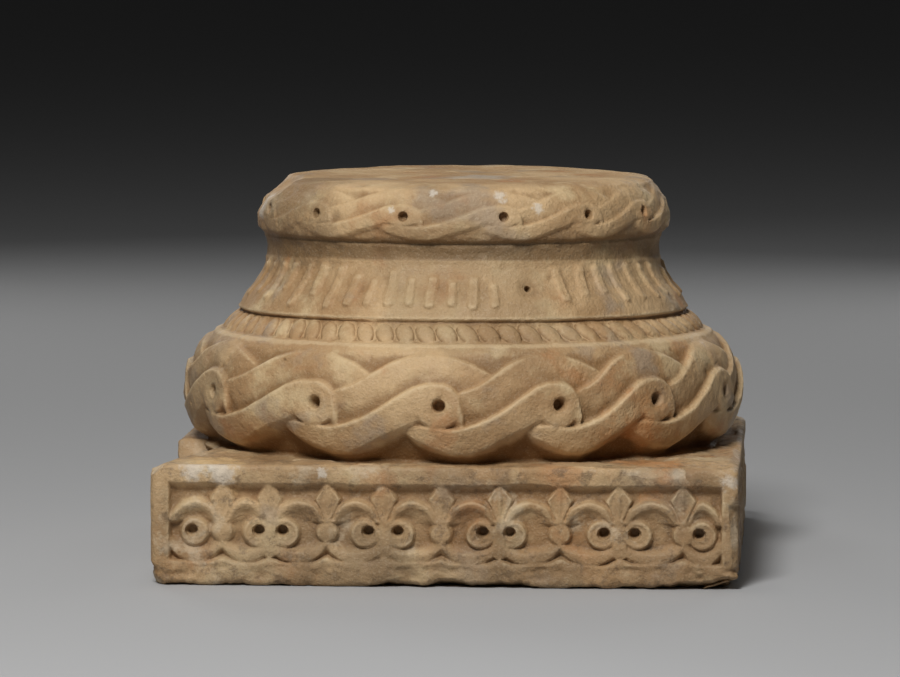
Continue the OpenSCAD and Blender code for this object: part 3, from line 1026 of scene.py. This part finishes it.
# %% Drill bits
tree, given = new_tree("drill_bits", {
    "Sides": "Int", "Mouth": "Float", "End": "Float", "Material": "Material",
})
line = add("GeometryNodeCurvePrimitiveLine", {"Start": (0, 0, 0), "End": (0, 0, 1)}).outputs[0]
line = add("GeometryNodeResampleCurve", {"Curve": line, "Count": 9}).outputs[0]
way_in = add("GeometryNodeSplineParameter").outputs["Factor"]
flare = ramp(way_in, 0.25, 0.5, given["Mouth"], 1.0)
narrow = ramp(way_in, 0.5, 1.0, 1.0, given["End"])
girth = calc("MULTIPLY", flare, narrow)
circle = add("GeometryNodeCurvePrimitiveCircle", {"Resolution": given["Sides"], "Radius": 1.0})
bit = add("GeometryNodeCurveToMesh", {
    "Curve": line, "Profile Curve": circle.outputs[0], "Scale": girth, "Fill Caps": True}).outputs[0]
far_in = part_of(position(), "Z")
# These marks darken the inside of each hole through the earth-and-shade layer: painted shade that deepens
# inwards.
for note, at_mouth, at_end in (("relief", 0.6, -1.2), ("sunk", 2.0, 5.0)):
    bit = keep_mark(bit, note, ramp(far_in, 0.3, 0.55, at_mouth, at_end))


def kept(name, kind="FLOAT"):
    """What a point of the tree's mesh holds under a name."""
    return add("GeometryNodeInputNamedAttribute", {"Name": name}, data_type=kind).outputs[0]


aim = add("FunctionNodeAlignRotationToVector", {"Vector": kept("way", "FLOAT_VECTOR")}, axis="Z")
half_bore = times(kept("bore"), 0.5)
bit_size = vector(X=half_bore, Y=half_bore, Z=kept("deep"))
bits = add("GeometryNodeInstanceOnPoints", {
    "Points": given["Geometry"], "Instance": bit, "Rotation": aim.outputs[0], "Scale": bit_size}).outputs[0]
close_tree(bits, given["Material"])
print("drill bits:", len(tree.nodes), "nodes")

# %% [markdown]
# ### Setting out the holes
#
# The eyes of the plaits dip a little on their way in, and those of the
# volutes go in almost level.  The first volute's hole is shorter, because it
# stands beside a worn corner.

# %% Drill the holes
EYE_BORE, EYE_DEEP = 8.6, 16
EYE_UP_BORE, EYE_UP_DEEP = 7.2, 11.5
DIMPLE_BORE, DIMPLE_DEEP = 4.4, 10
VOLUTE_BORE, VOLUTE_DEEP, VOLUTE_SHORT = 7.2, 11, 8
VOLUTE_EYE_Z = 39.8
holes = []


def hole(point, inward, bore, deep):
    """One hole: the bit starts outside the stone, a third of the way back."""
    n = np.array(inward, float) / np.linalg.norm(inward)
    start = np.array(point, float) - n * deep * 0.36
    holes.append((start * MM, n, bore * MM, deep * MM))


def round_hole(t, radius, z, dip, bore, deep):
    """A hole into the drum at angle t that dips by some degrees on its way in."""
    out = np.array([math.sin(math.radians(t)), -math.cos(math.radians(t)), 0])
    dip = math.radians(dip)
    hole(out * radius + [0, 0, z], -out * math.cos(dip) - [0, 0, math.sin(dip)], bore, deep)


for t in lower_eyes:
    round_hole(t, 207.5, Z_EYES, 6, EYE_BORE, EYE_DEEP)
for t in upper_eyes:
    round_hole(t, 153.5, Z_EYES_UP, 8, EYE_UP_BORE, EYE_UP_DEEP)
round_hole(DIMPLE_TURN, 153.5, DIMPLE_Z, 15, DIMPLE_BORE, DIMPLE_DEEP)
for side in range(4):
    c, s = math.cos(math.radians(90 * side)), math.sin(math.radians(90 * side))
    for number, (px, _) in enumerate(VOLUTES):
        py = -(HALF - 4.6)
        place = (px * c - py * s, px * s + py * c, VOLUTE_EYE_Z)
        hole(place, (-s, c, 0.04), VOLUTE_BORE, VOLUTE_DEEP if number else VOLUTE_SHORT)

spots = bpy.data.meshes.new("drill_spots")
spots.from_pydata([tuple(h[0]) for h in holes], [], [])
way = spots.attributes.new("way", "FLOAT_VECTOR", "POINT")
way.data.foreach_set("vector", np.concatenate([h[1] for h in holes]))
for name, item in (("bore", 2), ("deep", 3)):
    spots.attributes.new(name, "FLOAT", "POINT").data.foreach_set("value", [h[item] for h in holes])
bits = grow("bits", spots, {"Sides": 14, "Mouth": 1.35, "End": 0.8, "Material": stone})
print("holes:", len(holes), "bits:", triangles(bits), "triangles")
combine(block, bits, "DIFFERENCE")

# %% [markdown]
# Every edge of a closed skin has exactly two faces.  A boolean can leave a
# slit, so the edges are counted.

# %% Test the skin
edges_used = np.zeros(len(block.data.edges), int)
loop_edges = np.zeros(len(block.data.loops), np.int32)
block.data.loops.foreach_get("edge_index", loop_edges)
np.add.at(edges_used, loop_edges, 1)
print("block: %d triangles, open edges %d" % (triangles(block), int((edges_used != 2).sum())))

# %% [markdown]
# ## Weathered marble
#
# The stone is a coarse white marble that has gone the colour of honey.  The
# colour is laid on in layers, and each layer has a mask made of noise, of
# places, and of the marks that were kept while carving.  First come the
# stainer's tools.

# %% Tools of the stainer
def paint(r, g, b):
    """A colour as seen, from 0 to 255, in the linear values that light needs."""
    def linear(v):
        v = v / 255
        return v / 12.92 if v <= 0.04045 else ((v + 0.055) / 1.055) ** 2.4
    return (linear(r), linear(g), linear(b), 1.0)


tree = stone.node_tree
shader = tree.nodes["Principled BSDF"]
where = add("ShaderNodeTexCoord").outputs["Object"]


def mottle(size, detail=4.0, roughness=0.55, shift=0.0):
    """Soft noise whose lumps are about `size` metres across, from 0 to 1."""
    wires = {"Vector": where, "Location": (shift, shift * 1.7, -shift)}
    moved = add("ShaderNodeMapping", wires).outputs[0]
    wires = {"Vector": moved, "Scale": 1.0 / size, "Detail": detail, "Roughness": roughness}
    return add("ShaderNodeTexNoise", wires).outputs["Fac"]


def lay(under, colour, mask, strength=None):
    """Lays a colour over what is there, as far as the mask and strength say."""
    if strength is not None:
        mask = times(mask, strength)
    wires = {0: mask, 6: under, 7: paint(*colour)}
    return add("ShaderNodeMix", wires, data_type="RGBA").outputs[2]


def mark(name):
    """A mark that was kept on the stone while carving."""
    return add("ShaderNodeAttribute", attribute_name=name).outputs["Fac"]


def spot(x, y, z, reach, ragged=0.5, shift=3.0):
    """A ragged patch round a place given in millimetres."""
    wires = {0: where, 1: (x * MM, y * MM, z * MM)}
    away = add("ShaderNodeVectorMath", wires, operation="DISTANCE").outputs["Value"]
    lumps = mottle(0.7 * reach * MM, 4, 0.65, shift)
    noisy = times(calc("SUBTRACT", lumps, 0.5), 4 * ragged * reach * MM)
    return ramp(plus(away, noisy), reach * MM, reach * 0.4 * MM)


print("honey:", [round(v, 3) for v in paint(205, 172, 128)])

# %% [markdown]
# ### Honey, grey and rust
#
# Marble yellows unevenly and holds grey veins and rust.  Clouds of noise do
# this, and none follows the carving, because the colour lies in the stone.

# %% Clouds of colour
honey = lay(paint(205, 172, 128), (176, 140, 98), ramp(mottle(0.08, 5), 0.38, 0.62))
light = ramp(mottle(0.035, 5, 0.6, 1.3), 0.5, 0.7)
honey = lay(honey, (216, 190, 146), light, 0.8)
grey = ramp(mottle(0.05, 4, 0.55, 2.1), 0.56, 0.68)
honey = lay(honey, (158, 142, 124), grey, 0.55)
rust = ramp(mottle(0.045, 4, 0.55, 5.2), 0.56, 0.7)
honey = lay(honey, (180, 120, 70), rust, 0.5)
print("clouds laid:", len(tree.nodes), "nodes so far")

# %% [markdown]
# ### Earth, painted shade and a darker plinth
#
# Earth stays where the stone is lower than what lies near, and the same
# darkening is painted shade in the hollows between the ribbons, darkest where
# they are sunk deepest.  The plinth is painted darker, in mottled patches, with
# dark flecks and pale scuffs.

# %% Earth and painted shade in the hollows, a darker plinth
earth_and_shade_noise = times(mottle(0.012, 4, 0.6, 4.4), 1.6)
# Earth and painted shade: places lower than what is near them, and the deepest sunk places, are darkened as
# shade would darken them.
earth_and_shade = ramp(plus(mark("relief"), earth_and_shade_noise), 0.9, -1.4)
honey = lay(honey, (130, 94, 54), earth_and_shade, 0.75)
honey = lay(honey, (118, 82, 42), ramp(mark("sunk"), 6.0, 14.0), 0.6)
# The plinth, below the torus, is painted darker in mottled patches, with dark flecks and pale scuffs.
plinth = ramp(part_of(where, "Z"), 0.0895, 0.0855)
plinth_darkening = ramp(mottle(0.06, 5, 0.65, 11.3), 0.36, 0.62, 0.15, 0.75)
honey = lay(honey, (132, 106, 76), plinth_darkening, times(plinth, 0.7))
flecks = ramp(mottle(0.012, 5, 0.7, 15.1), 0.52, 0.66, 0.0, 0.6)
honey = lay(honey, (104, 84, 62), flecks, plinth)
pale = ramp(mottle(0.03, 5, 0.65, 17.3), 0.56, 0.68, 0.0, 0.5)
honey = lay(honey, (206, 186, 156), pale, plinth)
print("dirt laid:", len(tree.nodes), "nodes so far")

# %% [markdown]
# ### Smudges, painted shade, wear, painted highlights and breaks
#
# Some marks belong to one place: broad smudges, a band of painted shade and
# brown crust round the neck under the upper torus, and a coloured patch at
# each end of the plinth's top.  Proud edges are rubbed pale and given a painted
# highlight, breaks show cleaner stone, and small white bruises come last.

# %% Marks of one place
SMUDGES = [
    (-120, -85, 262, 62, 0.6), (-190, -70, 130, 60, 0.45), (-60, -209, 6, 50, 0.6),
    (60, -209, 6, 40, 0.5), (0, -150, 205, 90, 0.35), (-204, -120, 84, 40, 0.4),
]
WHITE_SPOTS = [
    (-158, -209, 82, 13), (-178, -209, 85, 12), (-86, -209, 82, 5), (203, -206, 78, 9),
    (36, -139, 275, 6), (63, -136, 267, 5), (-42, -144, 265, 4), (-12, -143, 278, 4),
    (-146, -40, 262, 16),
]
for x, y, z, reach, strength in SMUDGES:
    honey = lay(honey, (128, 104, 74), spot(x, y, z, reach, 0.7, 13.0), strength)
# Painted shade and brown crust round the neck, under the upper torus.
honey = lay(honey, (112, 86, 54), mark("band"), 0.85)
honey = lay(honey, (200, 138, 82), spot(150, -178, 100, 44, 0.6, 19.0), 0.55)
honey = lay(honey, (222, 186, 132), spot(-165, -180, 92, 32, 0.7, 21.0), 0.6)
# Proud edges: rubbed pale by wear, and lightened along the rims as a painted highlight.
rubbed_and_highlit = ramp(plus(mark("rim"), mottle(0.01, 3, 0.6, 6.1)), 0.8, 1.7)
honey = lay(honey, (228, 202, 160), rubbed_and_highlit, 0.42)
cleaner = times(mark("fresh"), ramp(mottle(0.02, 4, 0.6, 3.3), 0.4, 0.65))
honey = lay(honey, (214, 196, 168), cleaner, 0.5)
for x, y, z, reach in WHITE_SPOTS:
    honey = lay(honey, (226, 216, 200), spot(x, y, z, reach), 0.6)
honey = lay(honey, (188, 178, 162), spot(8, -40, 284, 34, 0.9, 23.0), 0.5)
print("marks laid:", len(tree.nodes), "nodes so far")

# %% [markdown]
# ### Crystals, sheen and grain
#
# Coarse marble is a mass of crystals about a millimetre across.  A Voronoi
# pattern gives each its own value.  The same crystals, with two sizes of
# noise, roughen the surface as a bump, which costs no triangles.

# %% Crystals and grain
CRYSTALS_PER_METRE = 950.0
wires = {"Vector": where, "Scale": CRYSTALS_PER_METRE}
crystals = add("ShaderNodeTexVoronoi", wires).outputs["Color"]
sparkle = add("ShaderNodeSeparateColor", {0: crystals}).outputs[0]
honey = lay(honey, (244, 230, 200), ramp(sparkle, 0.7, 1.0), 0.07)
honey = lay(honey, (110, 80, 50), ramp(sparkle, 0.3, 0.0), 0.07)
tree.links.new(honey, shader.inputs["Base Color"])
sheen = ramp(mottle(0.02, 4, 0.6, 7.7), 0.3, 0.7, 0.5, 0.78)
tree.links.new(sheen, shader.inputs["Roughness"])
shader.inputs["Specular IOR Level"].default_value = 0.4
fine = times(mottle(0.0022, 3, 0.6, 8.8), 0.5)
coarse = mottle(0.007, 4, 0.6, 9.9)
height = plus(plus(fine, coarse), times(sparkle, 0.1))
bump = add("ShaderNodeBump", {"Height": height, "Strength": 0.9, "Distance": 0.0016}).outputs[0]
tree.links.new(bump, shader.inputs["Normal"])
print("marble:", len(tree.nodes), "nodes")

# %% [markdown]
# ## Hand the block to the frame
#
# The finished block stands for the part's own solid and rides on its only
# body.

# %% Finish the block
shade = np.ones(len(block.data.polygons), bool)
block.data.polygons.foreach_set("use_smooth", shade)
block.data.update()
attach(block, "root")
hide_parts("column_base")
print("block rides on root")

# %% [markdown]
# ## Floor
#
# The floor is plain and pale, and runs on until the light no longer reaches
# it, so it needs no wall.

# %% Floor
WIDE = 40.0
corners = [(-WIDE, -WIDE, 0), (WIDE, -WIDE, 0), (WIDE, WIDE, 0), (-WIDE, WIDE, 0)]
floor_mesh = bpy.data.meshes.new("floor")
floor_mesh.from_pydata(corners, [], [(0, 1, 2, 3)])
floor = show("floor", floor_mesh)
paper = bpy.data.materials.new("floor_paper")
paper.use_nodes = True
surface = paper.node_tree.nodes["Principled BSDF"].inputs
surface["Base Color"].default_value = (0.45, 0.45, 0.45, 1)
surface["Roughness"].default_value = 0.9
surface["Specular IOR Level"].default_value = 0.1
floor_mesh.materials.append(paper)
print("floor:", 2 * WIDE, "metres square")

# %% [markdown]
# ## Lights
#
# One soft lamp high in front, a little to the left, gives the form.  A wide
# one overhead opens the shadows, and weak ones behind keep the hidden sides
# readable.  A faint glow of the world keeps the deepest hollows from black.

# %% Lights
AIM = Vector((0, 0, 0.14))
GLOW = 0.016


def lamp(name, place, size, power):
    """A round soft lamp that faces the block."""
    light = bpy.data.lights.new(name, "AREA")
    light.shape = "DISK"
    light.size = size
    light.energy = power
    thing = show(name, light)
    thing.location = place
    thing.rotation_euler = (AIM - Vector(place)).to_track_quat("-Z", "Y").to_euler()


lamp("key", (-0.32, -2.05, 2.05), 0.8, 64)
lamp("overhead", (-0.2, 0.2, 2.2), 1.4, 6)
lamp("back_left", (-1.4, 2.2, 1.3), 1.0, 9)
lamp("back_right", (0.9, 2.4, 1.1), 1.0, 6)
world = bpy.data.worlds.new("studio")
world.use_nodes = True
world.node_tree.nodes["Background"].inputs["Color"].default_value = (1, 1, 1, 1)
world.node_tree.nodes["Background"].inputs["Strength"].default_value = GLOW
bpy.context.scene.world = world
bpy.context.scene.view_settings.view_transform = "Standard"
